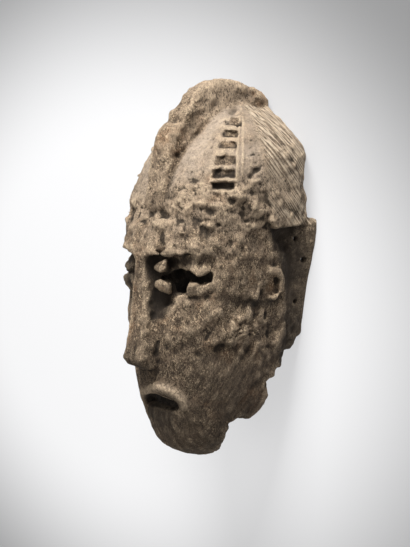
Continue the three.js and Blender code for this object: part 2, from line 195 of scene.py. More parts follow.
# %% [markdown]
# ## The wood as a grid of distances
# Weathering could be sculpted by hand, or made with Displace modifiers. Both only push a skin in and out,
# and a mask has thin lids, ledges and holes where a pushed skin folds over itself. So the solid is turned
# into a grid of small cubes first. Each holds its distance from the wood's surface, below zero inside.
# Adding to those numbers wears wood away, and taking from them builds it up. The surface, which is wherever
# the number is zero, stays whole. The library for volumes that comes with Blender makes the grid.

# %% Distance grid
CELL = 1.2  # mm
KNOWN = 10  # how many cells the distances reach on either side of the surface
MARGIN = 8  # empty cells round the mask


def corners_of(mesh):
    """The places of a mesh's corners, in mm."""
    flat = np.empty(len(mesh.vertices) * 3, np.float32)
    mesh.vertices.foreach_get("co", flat)
    return flat.reshape(-1, 3) / np.float32(MM)


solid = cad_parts["mask"].data
solid.calc_loop_triangles()
corners = corners_of(solid)
triangles = np.empty(len(solid.loop_triangles) * 3, np.uint32)
solid.loop_triangles.foreach_get("vertices", triangles)
triangles = triangles.reshape(-1, 3)

cells = vdb.createLinearTransform(voxelSize=CELL)
level_set = vdb.FloatGrid.createLevelSetFromPolygons(
    corners, triangles=triangles, transform=cells, halfWidth=KNOWN
)
first = np.floor(corners.min(axis=0) / CELL).astype(int) - MARGIN
last = np.ceil(corners.max(axis=0) / CELL).astype(int) + MARGIN
distance = np.empty(last - first, np.float32)
level_set.copyToArray(distance, ijk=tuple(int(i) for i in first))
print("grid", distance.shape, "distances", distance.min(), "to", distance.max())

# %% [markdown]
# ## The broken jaw
# The jaw ends in a break, not in a carved edge. A few more bites are taken out of it here: each is a
# slanting bore of its own width, and whatever lies inside it stops being wood. Two waves run along the
# bore's edge, so that the break is ragged and not a clean arc.

# %% Bites out of the jaw
BITES = [  # a place on the bore, and its radius
    ((64, -187, 90), 18),
    ((85, -134, 50), 15),
    ((86, -148, 55), 12.5),
]
BITE_RUN = np.array((0.76, 0.12, 0.64))  # the way that the bores run
BITTEN_SIDE = 30  # only wood further to the left than this is bitten
sides = [(np.arange(a, b) * CELL).astype(np.float32) for a, b in zip(first, last)]
grid_x, grid_y, grid_z = np.meshgrid(*sides, indexing="ij", sparse=True)
for (at_x, at_y, at_z), bite_radius in BITES:
    gap_x, gap_y, gap_z = grid_x - at_x, grid_y - at_y, grid_z - at_z
    ahead = gap_x * BITE_RUN[0] + gap_y * BITE_RUN[1] + gap_z * BITE_RUN[2]
    long_wave = 1.7 * np.sin(gap_y * 0.62 + gap_z * 0.2)
    short_wave = 1.2 * np.sin(gap_z * 1.1 + gap_y * 0.5)
    off_axis = np.sqrt((gap_x**2 + gap_y**2 + gap_z**2 - ahead**2).clip(0))
    bite = (bite_radius + (long_wave + short_wave) - off_axis).astype(np.float32)
    np.maximum(distance, np.where(grid_x > BITTEN_SIDE, bite, -KNOWN * CELL), out=distance)
print(len(BITES), "bites taken")

# %% [markdown]
# ## Softening
# Wood that has been out in the rain has no sharp edge left. Blurring the distances rounds every corner at
# once: the wider the blur, the rounder the edge. Several blurs are kept, so that one place can be
# softened more than another.

# %% Blur
BLUR_REACH = 2.2  # how many radii the average reaches out


def blurred(field, radius):
    """The field averaged over a soft ball of that radius in mm."""
    reach = max(1, round(BLUR_REACH * radius / CELL))
    steps = np.arange(-reach, reach + 1)
    weights = np.exp(-0.5 * (steps * CELL / radius) ** 2)
    weights /= weights.sum()
    for axis in range(3):
        padding = [(reach, reach) if n == axis else (0, 0) for n in range(3)]
        padded = np.pad(field, padding, mode="edge")
        total = np.zeros_like(field)
        for step, weight in enumerate(weights):
            window = [slice(None)] * 3
            window[axis] = slice(step, step + field.shape[axis])
            total += np.float32(weight) * padded[tuple(window)]
        field = total
    return field


slightly = blurred(distance, radius=1.3)
softly = blurred(distance, radius=3.0)
deeply = blurred(softly, radius=5.0)
print("blurred three times")

# %% [markdown]
# ## Inside and outside
# The hollow is finished differently from the face, so the script has to know which is which. A place is in
# the hollow if it is empty, has wood above it, and has wood on both sides.

# %% Find the hollow
CUBIC_MM_IN_A_LITRE = 1e6
filled = distance < 0
roofed = np.maximum.accumulate(filled[:, :, ::-1], axis=2)[:, :, ::-1]
walled = np.maximum.accumulate(filled, axis=0) & np.maximum.accumulate(filled[::-1], axis=0)[::-1]
cleared = roofed & walled & ~filled
hollow = blurred(cleared.astype(np.float32), radius=2.5)
print("hollow litres", round(float(cleared.sum()) * CELL**3 / CUBIC_MM_IN_A_LITRE, 2))

# %% [markdown]
# Only the cells close to the surface need any work. They are listed once, with their places in
# millimetres: x across the face, y up it, z out of it. The mask's left side, which the camera sees, is
# where x is above zero.

# %% Cells near the surface
WORKED_DEPTH = 9  # mm
near = np.nonzero(np.abs(distance) < WORKED_DEPTH)
places = (np.stack(near, axis=1) + first).astype(np.float32) * np.float32(CELL)
print(len(places), "cells near the surface")


def step_up(value, low, high):
    """0 below low, 1 above high, and a soft step between them."""
    t = np.clip((value - low) / (high - low), 0, 1)
    return t * t * (3 - 2 * t)


# %% [markdown]
# ## Noise
# Weather is uneven at every size. A random number is kept at each crossing of a coarse lattice, and places
# between them are blended smoothly. The lattice is turned a little for each use, so that its directions
# don't show. A size of three numbers stretches the noise, which is how wood grain is made. Each use has a
# seed of its own, so the mask comes out the same every time.

# %% Noise
LATTICE = 32


def noise(points, size, seed):
    """Smooth random values from -1 to 1, whose bumps are about `size` mm across."""
    chance = np.random.default_rng(seed)
    values = chance.uniform(-1, 1, LATTICE**3).astype(np.float32)
    scaled = points
    if np.ndim(size) == 0:
        turn, _ = np.linalg.qr(chance.normal(size=(3, 3)))
        scaled = points @ turn.astype(np.float32)
    scaled = scaled / np.asarray(size, np.float32) + chance.uniform(0, LATTICE, 3).astype(np.float32)
    cells_round, shares = [], []
    for axis, row_length in enumerate((LATTICE**2, LATTICE, 1)):
        along_axis = np.ascontiguousarray(scaled[:, axis])
        base = np.floor(along_axis)
        part = along_axis - base
        part *= part * (3 - 2 * part)
        before = base.astype(np.int32) % LATTICE
        cells_round.append((before * row_length, (before + 1) % LATTICE * row_length))
        shares.append((1 - part, part))
    result = np.zeros(len(points), np.float32)
    for i, j in np.ndindex(2, 2):
        row = cells_round[0][i] + cells_round[1][j]
        share = shares[0][i] * shares[1][j]
        for k in range(2):
            result += share * shares[2][k] * values[row + cells_round[2][k]]
    return result


# %% [markdown]
# ## Zones
# Each part of the mask has weathered in its own way. A zone is a number from 0 to 1 for every place, with
# soft edges. The hair is divided by bearing: the angle round the crown's axis, 0 to the front and 90 to
# the side, which is how its pattern was scratched into it. The rot of the forehead has climbed into the
# hair, higher on the left side than on the right.

# %% Zones
CROWN_X, CROWN_Z = 12, 45  # the crown's axis
HAIRLINE = [(50, 53), (170, 69)]  # z, and the hair's lower edge
ROT_TOP_LEFT = [(-20, 84), (5, 98), (22, 113), (38, 108), (48, 112), (58, 114), (66, 100), (76, 68)]
ROT_TOP_RIGHT = [(-20, 76), (10, 84), (40, 80), (70, 52)]  # bearing, and the top of the rot


def bearing_of(points):
    return np.degrees(np.arctan2(np.abs(points[:, 0]) - CROWN_X, points[:, 2] - CROWN_Z))


def read_off(value, line):
    """What a line through pairs of value and result gives at each value."""
    return np.interp(value, *zip(*line))


def zones_of(points, hollowness):
    x, y, z = points.T
    across = np.abs(x)
    bearing = bearing_of(points)
    inside = step_up(hollowness, 0.06, 0.3)
    outside = 1 - inside
    crest = outside * step_up(y, 66, 74) * (1 - step_up(across, 16.5, 20))
    hair = (outside - crest).clip(0) * step_up(y - read_off(z, HAIRLINE), -1, 3)
    rot_top = np.where(x > 0, read_off(bearing, ROT_TOP_LEFT), read_off(bearing, ROT_TOP_RIGHT))
    rot_top += 5 * noise(points, 12, 1)
    worn = outside * (1 - crest) * step_up(rot_top - y, -6, 9) * step_up(y, 46, 58) * step_up(z, 34, 60)
    brow = outside * step_up(y, 22, 27) * (1 - step_up(y, 64, 72)) * step_up(z, 60, 90)
    plate = outside * (1 - step_up(z, 34, 44)) * (1 - step_up(y, 52, 56)) * step_up(y, -125, -118)
    chin = outside * (1 - step_up(y, -160, -140)) * step_up(z, 80, 110)
    return {
        "inside": inside,
        "crest": crest,
        "hair": hair * (1 - worn),
        "worn": worn,
        "brow": brow,
        "plate": plate,
        "chin": chin,
        "face": (outside - crest - hair).clip(0),
    }


zone = zones_of(places, hollow[near])
print({name: round(float(value.mean()), 3) for name, value in zone.items()})

# %% [markdown]
# ## Softening each zone
# The panels of the hair are still fairly crisp. The rotted forehead, the eye sockets, the temples and the
# hair's lower corners have lost all their edges. Each zone's number says how far its places go from the
# light blur to the wide one, and then to the widest.


# %% Soft places
def ball(points, at, reach):
    """1 at a place and 0 beyond its reach, which is one number or one for each axis."""
    away = (points - np.asarray(at, np.float32)) / np.asarray(reach, np.float32)
    return np.clip(1 - (away * away).sum(axis=1), 0, 1) ** 1.5


x, y, z = places.T
across = np.abs(x)
folded = places.copy()  # the right side laid over the left one
folded[:, 0] = across
socket = ball(folded, (24, -46, 168), (24, 38, 26))
lids = ball(folded, (46, -4, 163), (44, 32, 34))
nose = (1 - step_up(across, 18, 26)) * (1 - step_up(y, 26, 34))
nose = nose * step_up(y, -122, -112) * step_up(z, 160, 172)
temple = ball(folded, (82, 32, 54), (24, 30, 30))
brow_end = ball(folded, (82, 26, 136), (32, 24, 46))
hair_corner = ball(folded, (90, 74, 88), (26, 40, 24))

light_blur = slightly[near]
wide_blur = softly[near]
widest_blur = deeply[near]
softened = [zone["worn"], zone["chin"] * 0.3, lids * 0.1, nose * 0.4]
surface = light_blur + (wide_blur - light_blur) * np.maximum.reduce(softened)
melted = [zone["worn"] * 0.6, brow_end * 0.8, temple * 0.95, hair_corner * 0.95, socket * 0.6, nose * 0.25]
surface += (widest_blur - surface) * np.maximum.reduce(melted)
print("softened", len(softened), "zones and melted", len(melted))

# %% [markdown]
# ## Weather
# First come the marks that the whole mask shares: shallow swellings, and a fine crust on top of them.
# Four noises, from a broad one to a fine one, are mixed in other shares for each part. The hair's smooth
# panels keep little of them, the crest, the nose and the eyelids more.

# %% Crust all over
swelling = noise(places, 17, 11)
lumps = noise(places, 8.5, 12)
knobs = noise(places, 4.8, 13)
grit = noise(places, 3.0, 14)
smooth_cheek = ball(places, (52, -50, 158), (26, 46, 30))
low_face = zone["face"] * (1 - step_up(y, -130, -80))
quiet = 1 - 0.7 * zone["hair"] - 0.5 * zone["inside"] - 0.4 * smooth_cheek
quiet *= (1 - 0.6 * low_face) * (1 - 0.5 * nose)
height = quiet * (0.8 * swelling + 0.8 * lumps + 0.3 * knobs + 0.25 * grit)
print("crust, mm:", round(float(height.min()), 1), "to", round(float(height.max()), 1))

# %% Crust of each part
crest_back = zone["crest"] * (1 - step_up(z, 40, 70))
crest_crust = zone["crest"] * (1.1 * noise(places, 26, 15) + 0.4 * lumps + 0.4 * knobs)
crest_crust += crest_back * (0.8 * lumps + 0.8 * knobs)
height += crest_crust
hair_back = zone["hair"] * (1 - step_up(z, 40, 62))
height += zone["hair"] * (0.25 * lumps + 0.15 * grit)
height += hair_back * (1.2 * lumps + 0.8 * knobs)
small_crust = lids * (0.5 * lumps + 0.9 * knobs + 0.5 * grit)
small_crust += nose * (0.7 * noise(places, (4, 40, 14), 16) + 0.7 * lumps + 0.4 * knobs)
height += small_crust
cheeks = zone["face"] * (1 - zone["plate"]) * (1 - 0.7 * low_face) * (1 - nose)
height += cheeks * (0.7 * lumps + 0.9 * swelling)
print("with each part's own, mm:", round(float(height.min()), 1), "to", round(float(height.max()), 1))

# %% [markdown]
# The forehead has rotted into a landscape of knobs and pits. Folding the noise at zero gives the rounded
# knobs with creases between them that soft wood leaves when it falls out. The brow below it has the same
# knobs, lower ones. No pit goes deep, or it would look like a bored hole.

# %% Rotted forehead
DEEPEST_PIT = -1.4  # mm


def folded_noise(points, size, seed, roundness=0.02):
    """Noise folded at zero: knobs, and creases that are softer where roundness is larger."""
    return 2.2 * np.sqrt(noise(points, size, seed) ** 2 + roundness) - 0.8


def held_back(depths, limit, share):
    """Whatever goes deeper than a limit goes on only by a share."""
    return np.where(depths < limit, limit + share * (depths - limit), depths)


crags = folded_noise(places, 19, 21)
small_crags = folded_noise(places, 10, 22)
rot_relief = 2.3 * crags + 1.3 * small_crags + 0.8 * lumps + 0.5 * knobs + 0.4 * grit
rot_relief -= 0.3 * step_up(y, 60, 80)
height += zone["worn"] * rot_relief
brow_relief = 1.4 * crags + 0.8 * small_crags + 0.8 * lumps + 0.7 * knobs + 0.4 * grit
brow_share = 0.5 + 0.6 * step_up(x, 28, 44)
brow_share *= 1 - 0.75 * step_up(x, 62, 74) * (1 - step_up(y, 52, 66))
height += zone["brow"] * zone["face"] * brow_share * brow_relief
height = held_back(height, DEEPEST_PIT, 0.35)
print("with the rot, mm:", round(float(height.min()), 1), "to", round(float(height.max()), 1))

# %% [markdown]
# ## Hair
# On each side the hair is a pointed arch. From the crest backwards it has a smooth panel, a ladder of sunk
# squares, a double line, a panel with rows of small dashes, and a fan of slanting scratches.
# The solid has the squares too, but with edges like those of a stencil. So the widest blur melts them, and
# they are sunk once more with uneven edges and floors. The two lowest rungs stand out, where the rot has
# eaten the wood round them.

# %% Ladder
SQUARES = [(169, 176), (155, 163.5), (143, 150.5), (125, 135.5), (111, 119.5), (98.5, 106.5)]  # from y to y
RUNGS = [108.5, 96.3]  # the y of each
RUNG_WIDTH = 2.6
REFILL = 1.3  # mm


def rungs_at(points):
    """1 along the lowest rungs of the ladder, on the left side."""
    angle = bearing_of(points)
    beside = step_up(angle, 28, 30) * (1 - step_up(angle, 43, 45)) * (points[:, 0] > 0)
    return beside * sum(np.exp(-(((points[:, 1] - rung) / RUNG_WIDTH) ** 2)) for rung in RUNGS)


bearing = bearing_of(places)
uneven_bearing = bearing + 0.9 * lumps + 1.0 * knobs
uneven_y = y + 1.9 * lumps + 1.6 * knobs


def square_at(low, high):
    """1 between two heights, with soft and uneven edges."""
    return step_up(uneven_y, low - 1, low + 1) * (1 - step_up(uneven_y, high - 1, high + 1))


ladder_band = step_up(uneven_bearing, 29.5, 31.5) * (1 - step_up(uneven_bearing, 43, 45))
ladder_band *= zone["hair"] + zone["worn"]
melted_band = ladder_band * step_up(y, 100, 108)
surface += (widest_blur - surface) * 0.85 * melted_band
height += REFILL * melted_band
floors = ladder_band * sum(square_at(low, high) for low, high in SQUARES)
height -= floors * (2.9 - 1.3 * step_up(y, 120, 126) + 0.8 * lumps + 0.7 * knobs + 1.1 * grit)
height += rungs_at(places) * (zone["hair"] + zone["worn"]) * (1.6 + 1.0 * lumps + 0.7 * knobs)
height += zone["hair"] * ladder_band * (1.2 * lumps + 1.1 * knobs + 0.5 * grit)
print(len(SQUARES), "squares and", len(RUNGS), "rungs")

# %% [markdown]
# The double line is two low ridges with a groove between them, and each is where the bearing passes its
# own. The dashes are small pits in rows. Two waves, one round the head and one down it, meet in a pit where
# both are high, and a noise leaves some of them out, as wear has.

# %% Lines and dashes
LINES = [45.5, 49.5]  # bearings
GROOVE = 47.5
radius = np.hypot(across - CROWN_X, z - CROWN_Z)


def line_at(angle, width):
    """1 along a line that runs down the hair at a bearing, and 0 beyond its width in mm."""
    away = np.radians(bearing - angle) * radius
    return np.exp(-((away / width) ** 2))


def dashes(first_angle, last_angle, row_gap, dash_gap, seed):
    """Small sunk dashes in rows between two bearings."""
    arc = np.radians(bearing) * radius + 1.2 * noise(places, 20, seed)
    row = np.cos(2 * np.pi * arc / row_gap) * 0.5 + 0.5
    beat = np.cos(2 * np.pi * y / dash_gap) * 0.5 + 0.5
    panel = step_up(bearing, first_angle, first_angle + 2)
    panel *= 1 - step_up(bearing, last_angle - 2, last_angle)
    return panel * step_up(row * beat, 0.45, 0.8) * step_up(noise(places, 10, seed + 1), -0.5, 0.1)


above_rot = step_up(y, 84, 96)
raised = sum(line_at(angle, 1.0) for angle in LINES) * above_rot
groove = line_at(GROOVE, 1.2) * above_rot
height += zone["hair"] * (1.5 * raised * (0.75 + 0.25 * noise(places, 7, 31)) - 0.5 * groove)
height -= zone["hair"] * 1.1 * (dashes(4, 27, 7.0, 9.0, 32) + dashes(53, 64, 6.0, 8.0, 34))
print("with the hair, mm:", round(float(height.min()), 1), "to", round(float(height.max()), 1))

# %% [markdown]
# ## Single marks
# Some marks stand alone: a hole in the crest, the notch in the brow, the knot and the crease in the cheek.
# They could be sculpted, but numbers can be changed later, so each is a ball or a line given by its place.
# The lines wander a little, because nothing that weather leaves is straight. Each row below has a place or
# a path first, then its reach or width, and then how far it goes in (below zero) or comes out, all in mm.

# %% Balls and lines
wobble = 1.2 * np.stack([noise(places, 9, 41), noise(places, 9, 42), noise(places, 9, 43)], axis=1)
wandering = places + wobble


def trench(points, path, width):
    """1 along a path of points and 0 beyond its width in mm."""
    nearest = np.full(len(points), 1e9, np.float32)
    for start, end in zip(path[:-1], path[1:]):
        start, end = np.float32(start), np.float32(end)
        run = end - start
        t = np.clip((points - start) @ run / (run @ run), 0, 1)
        gap = points - start - t[:, None] * run
        nearest = np.minimum(nearest, (gap * gap).sum(axis=1))
    return np.exp(-nearest / width**2)


def add_marks(part, balls, lines):
    for at, reach, rise in balls:
        np.add(height, rise * ball(places, at, reach), out=height)
    for path, width, rise in lines:
        np.add(height, rise * trench(wandering, path, width), out=height)
    print(part, "has", len(balls), "balls and", len(lines), "lines")


# %% [markdown]
# The crest has a deep hole low in its front, two hollows, and a knobbed back end. Its foot is filled where
# it meets the hair, so that no gutter runs along it. Behind the double line a slanting hole goes into the
# hair.

# %% Crest and hair
CREST_FOOT = [(15, 190, 34), (15, 188, 60), (15, 184, 84), (15, 168, 114), (15, 146, 134)]
CREST_BALLS = [
    ((15.5, 135, 145), 4.5, -5),
    ((22, 184, 66), 7, -4),
    ((26, 182, 73), 7, -4),
    ((14, 208, 44), 9, 2.5),
    ((14, 200, 30), 7, -2.5),
    ((14, 196, 16), 9, 2.5),
]
add_marks("crest", CREST_BALLS, [(CREST_FOOT, 5.5, 3.0)])
HAIR_BALLS = [
    ((84, 142, 92), 3, -1.5),
    ((85, 137, 90), 3, -1.5),
    ((88, 112, 99), 4, -1.5),
    ((89, 94, 97), (8, 6, 7), -1.0),
    ((80, 91, 119), (8, 6, 8), 3),
    ((90, 107, 95), (8, 5, 10), 2),
    ((87, 71, 108), (6, 10, 6), -4),
    ((95, 80, 60), 7, 2.5),
    ((95, 92, 66), 8, 2),
]
SLANTING_HOLE = [
    ([(89, 114, 99), (90, 119, 90)], 2.3, -3.6),
    ([(90, 119, 90), (91, 124, 84)], 2.0, -1.6),
]
add_marks("hair", HAIR_BALLS, SLANTING_HOLE)

# %% [markdown]
# The larger knobs and pits of the forehead are where the real ones are, and the noise has filled in the
# rest. The brow hangs over the eyes with a swollen edge, and a notch has broken out of it.

# %% Forehead and brow
FOREHEAD_BALLS = [
    ((46, 84, 156), (12, 7, 10), -2),
    ((24, 66, 168), 8, -2),
    ((36, 85, 161), (10, 6, 9), 3),
    ((63, 83, 149), (10, 6, 9), 3),
    ((70, 60, 142), (9, 6, 9), 3),
    ((33, 46, 179), (7, 11, 7), 2.5),
    ((63, 33, 158), (8, 6, 8), 2.5),
    ((47, 101, 152), (12, 5, 9), 2.2),
    ((47, 109, 148), (12, 7, 10), -1.2),
    ((71, 73, 143), (8, 7, 8), -4),
    ((15, 68, 167), (9, 8, 8), -3.5),
    ((45, 63, 167), (10, 4, 9), -3),
    ((50, 73, 161), (9, 6, 9), 2),
    ((83, 86, 122), (6, 7, 7), -3.5),
    ((82, 56, 113), (7, 9, 9), 2),
]
LEDGE = [(85, 56, 104), (89, 56, 82)]
add_marks("forehead", FOREHEAD_BALLS, [(LEDGE, 4.0, 2.5)])
BROW_BALLS = [
    ((38, 22, 178), 9, 2),
    ((52, 19, 166), 7, -2),
    ((62, 20, 156), 9, 2.5),
    ((73, 17, 143), 9, -2.5),
]
BROW_EDGE = [(-42, 25, 176), (-20, 24, 186), (11, 23, 188), (31, 25, 186), (44, 25, 175), (62, 24, 157)]
BROW_NOTCH = [(29, 46, 180), (31, 31, 183)]
add_marks("brow", BROW_BALLS, [(BROW_EDGE, 5.5, 4.0), (BROW_NOTCH, 4.5, -8.0)])

# %% [markdown]
# The socket is deepest beside the nose, and the stumps of the broken eyelids stand in it. The upper lip is
# a thick ridge over the open mouth, and the lower one is nearly gone.

# %% Eyes, nose and mouth
EYE_BALLS = [
    ((13, 8, 184), (7, 18, 13), -3),
    ((19, -27, 174), (11, 18, 14), -4),
    ((29, -42, 169), (9, 12, 9), 3.5),
    ((19, 11, 180), 9, 4.0),
    ((24, -8, 181), 11, 2.5),
    ((-28, 0, 178), (9, 9, 12), 5),
    ((-37, 10, 178), (9, 9, 9), -3),
    ((-32, -10, 183), (9, 9, 9), -3),
    ((44, -55, 168), 6, -1.5),
]
EYE_LINES = [
    ([(50, -24, 161), (56, -25, 158), (66, -25, 147), (71, -18, 138)], 3.0, -0.9),
    ([(56, -15, 159), (64, -17, 152), (70, -13, 143)], 6.0, 2.0),
    ([(18, 18, 176), (17, 2, 177), (18, -16, 176)], 4.5, -5.0),
]
add_marks("eye", EYE_BALLS, EYE_LINES)
NOSTRIL = [(20, -77, 178), (17, -88, 178), (13, -98, 178)]
NOSE_FOOT = [(19, -56, 179), (19, -80, 179)]
add_marks("nose", [], [(NOSTRIL, 3.0, -2.2), (NOSE_FOOT, 7.0, 2.0)])
LIP_LEFT = [(17, -129.5, 176), (28, -130.5, 170), (36, -136.5, 163), (40, -144, 158), (39, -150, 156)]
UPPER_LIP = [(-34, -148, 154), (-18, -142.5, 170), (-2, -135.5, 174)] + LIP_LEFT
LOWER_LIP = [(-24, -155, 160), (-8, -157, 165), (10, -157, 165), (25, -152, 162)]
add_marks("mouth", [], [(UPPER_LIP, 4.8, 3.0), (LOWER_LIP, 8.0, -5.0)])

# %% [markdown]
# The ear is a C with a thick rim round a small bowl. Above it the temple swells, and a gutter runs down
# where the face meets the flat plate behind it.

# %% Ear
EAR_RIM = [(85, 4, 65), (86, 1, 57), (86, -6, 49), (86, -15, 43), (85, -23, 47), (85, -27, 54)]
EAR_FRONT = [(84, -12, 80), (84, -27, 86)]
GUTTER = [(80, 37, 46), (81, 20, 38), (83, 5, 35), (84, -12, 33)]
EAR_BALLS = [
    ((84, -9, 54), (7, 6, 6), -2.2),
    ((84, -22, 52), (6, 5, 6), -1.8),
    ((84, -25, 77), (6, 10, 6), -2.2),
    ((81, 37, 65), (9, 15, 11), 4.5),
]
add_marks("ear", EAR_BALLS, [(EAR_RIM, 4.2, 2.0), (EAR_FRONT, 4.2, 2.6), (GUTTER, 6.5, -2.5)])

# %% [markdown]
# Below the ear the cheek is full of knobs, with long hollows between them, and a crease runs up through it.
# Broad folded noise is laid over the marks, so that they don't look placed.

# %% Cheek
CHEEK_BALLS = [
    ((81, -34, 97), (8, 6, 9), -1.5),
    ((82, -31, 50), 10, -5),
    ((81, -48, 92), (8, 10, 6.5), 2.6),
    ((79, -46, 111), (9, 9, 10), -3),
    ((81, -48, 76), (8, 10, 6), 2.8),
    ((81, -59, 83), 7, 2.6),
    ((66, -52, 146), 10, 1.8),
    ((71, -83, 126), (13, 8, 17), -4),
    ((78, -74, 99), (12, 14, 18), 2.6),
    ((76, -88, 90), 9, -3),
    ((58, -88, 151), 6, -2),
    ((55, -60, 158), 14, 1.6),
    ((74, -58, 118), 12, 2.0),
    ((76, -44, 108), 9, 1.8),
    ((70, -66, 132), 9, -2.2),
    ((60, -108, 140), 12, 1.5),
]
CHEEK_LINES = [
    ([(64, -72, 145), (69, -60, 138), (73, -49, 131)], 2.0, -1.8),
    ([(77, -29, 124), (80, -32, 110)], 6.5, -4.0),
    ([(80, -36, 103), (82, -33, 90), (82, -37, 78)], 6.0, -3.0),
    ([(82, -42, 84), (82, -56, 84)], 2.6, -2.4),
    ([(82, -34, 84), (82, -44, 80), (80, -58, 86)], 6.0, -1.8),
]
add_marks("cheek", CHEEK_BALLS, CHEEK_LINES)
cheek_lumps = ball(places, (76, -56, 96), (34, 36, 56))
cheek_crags = folded_noise(places, 15, 44, roundness=0.015)
height += cheek_lumps * (1.6 * lumps + 1.0 * knobs + 2.2 * swelling + 2.8 * cheek_crags)

# %% [markdown]
# Below the eye the grain of the wood has opened. It runs round a knot in the cheek, and then slants down
# to the broken edge of the jaw. Under the mouth it stands out as upright fibres.

# %% Knot in the cheek
KNOT = np.float32((77, -78, 96))
RING_GAP = 5
from_knot = np.hypot(y - KNOT[1], (z - KNOT[2]) * 0.7) + 2.5 * lumps + 1.5 * swelling
rings = np.cos(2 * np.pi * from_knot / RING_GAP) * step_up(24 - from_knot, 0, 8) * step_up(from_knot, 5, 9)
height += 0.7 * rings * step_up(x, 40, 60) * step_up(y - KNOT[1] + 0.5 * (z - KNOT[2]), -6, 4)
print("knot at", KNOT)

# %% Grain of the cheek and the chin
SLANT = math.radians(36)  # from straight down towards the front
along = -y * math.cos(SLANT) + z * math.sin(SLANT)
aside = y * math.sin(SLANT) + z * math.cos(SLANT)
slanting = np.stack([x, along, aside], axis=1)
grooves = noise(slanting, (12, 80, 9), 51) + 0.35 * noise(slanting, (6, 36, 4), 52)
lower_cheek = zone["face"] * (1 - step_up(y, -85, -60)) * step_up(across, 40, 56)
height += 1.1 * lower_cheek * grooves

fibres = noise(places, (3.6, 30, 12), 53) + 0.7 * noise(places, (2.6, 18, 8), 54)
below_mouth = zone["face"] * (1 - step_up(y, -158, -146)) * (1 - step_up(across, 40, 60))
height += 0.6 * below_mouth * fibres

jaw_edge = zone["face"] * (1 - step_up(z, 60, 90)) * (1 - step_up(y, -70, -50))
jaw_edge *= 0.3 + 0.7 * step_up(y, -160, -130)
height += jaw_edge * (0.9 * lumps + 0.6 * knobs + 1.2 * noise(places, (14, 9, 26), 56))
height += 0.3 * noise(places, (3.2, 40, 3.2), 55) * zone["face"]
print("with the grain, mm:", round(float(height.min()), 1), "to", round(float(height.max()), 1))

# %% [markdown]
# Insects and rot have left small holes, on the crest and the flat sides. They are the rare peaks of a fine
# noise, and a broad noise gathers them into groups.

# %% Worm holes
holes = step_up(noise(places, 3.4, 61) + 0.35 * noise(places, 22, 62), 0.84, 1.0)
height -= holes * np.maximum(0.5 * zone["crest"], 1.3 * zone["plate"])
print("holes in", round(float(holes.mean()) * 100, 1), "percent of the cells")

# %% [markdown]
# ## The hollow
# Behind, the wood was cleared with an adze. Each stroke leaves a long shallow scoop with a low ridge
# beside it, which stretched noise, folded at zero, imitates well.

# %% Adze marks
scoops = np.abs(noise(places, (15, 34, 15), 71))
height += zone["inside"] * (1.1 - 3.2 * scoops + 0.25 * grit)
print("scoops in", round(float(zone["inside"].mean()) * 100), "percent of the cells")

# %% [markdown]
# ## Back to a mesh
# The heights are taken off the distances, and the grid becomes a skin again where they pass zero. The
# mask must still lie on its back edge, so whatever would reach below the floor is cut off, and the heights
# fade out close to it.

# %% New surface
DEEPEST_CUT = -3.5  # mm
height = held_back(height, DEEPEST_CUT, 0.5)
height *= step_up(z, -1, 5)
sunk_squares = np.zeros_like(distance)
sunk_squares[near] = floors
distance[near] = surface - height
np.maximum(distance, -grid_z, out=distance)

worn_grid = vdb.FloatGrid(KNOWN * CELL)
worn_grid.transform = cells
worn_grid.copyFromArray(distance, ijk=tuple(int(i) for i in first))
points, quads = worn_grid.convertToQuads()
print(len(points), "corners and", len(quads), "faces")

# %% [markdown]
# Roughening thin wood can cut a crumb loose, or leave a bubble inside it. A crumb would hang in the air, so
# only the largest piece of the skin is kept. Each corner starts with a number of its own, and the lowest
# number of a face spreads over all its corners, until every piece has one number.


# %% Leave out crumbs
def largest_piece(points, faces):
    """Only the faces that hang together with most of the others."""
    piece = np.arange(len(points))
    before = None
    while before is None or (piece != before).any():
        before = piece.copy()
        lowest = piece[faces].min(axis=1)
        for corner in faces.T:
            np.minimum.at(piece, corner, lowest)
        piece = piece[piece]
    kept = faces[piece[faces[:, 0]] == np.bincount(piece).argmax()]
    used, numbered = np.unique(kept, return_inverse=True)
    return points[used], numbered.reshape(kept.shape)


all_faces = len(quads)
points, quads = largest_piece(points, quads)
print(all_faces - len(quads), "faces of crumbs and bubbles left out")


# %% Mesh object
def mesh_object(name, points, faces):
    mesh = bpy.data.meshes.new(name)
    sides = faces.shape[1]
    mesh.vertices.add(len(points))
    mesh.vertices.foreach_set("co", points.astype(np.float32).ravel())
    mesh.loops.add(faces.size)
    mesh.loops.foreach_set("vertex_index", faces.astype(np.int32).ravel())
    mesh.polygons.add(len(faces))
    mesh.polygons.foreach_set("loop_start", np.arange(0, faces.size, sides, dtype=np.int32))
    mesh.update(calc_edges=True)
    made = bpy.data.objects.new(name, mesh)
    bpy.context.scene.collection.objects.link(made)
    return made


mask = mesh_object("weathered_mask", points * MM, quads[:, ::-1])
print("made", mask.name)

# %% [markdown]
# The skin has far more faces than it needs where it is smooth. The Decimate modifier merges those and keeps
# the faces where the surface bends. A face or two may fold flat on the way, and `validate` takes them out.

# %% Fewer faces
MOST_TRIANGLES = 190_000
thin_out = mask.modifiers.new("thin out", "DECIMATE")
thin_out.ratio = min(1.0, MOST_TRIANGLES / (2 * len(quads)))
thinned = mask.evaluated_get(bpy.context.evaluated_depsgraph_get())
mask.data = bpy.data.meshes.new_from_object(thinned)
mask.modifiers.clear()
mask.data.validate()
mask.data.polygons.foreach_set("use_smooth", [True] * len(mask.data.polygons))
print(len(mask.data.polygons), "faces")

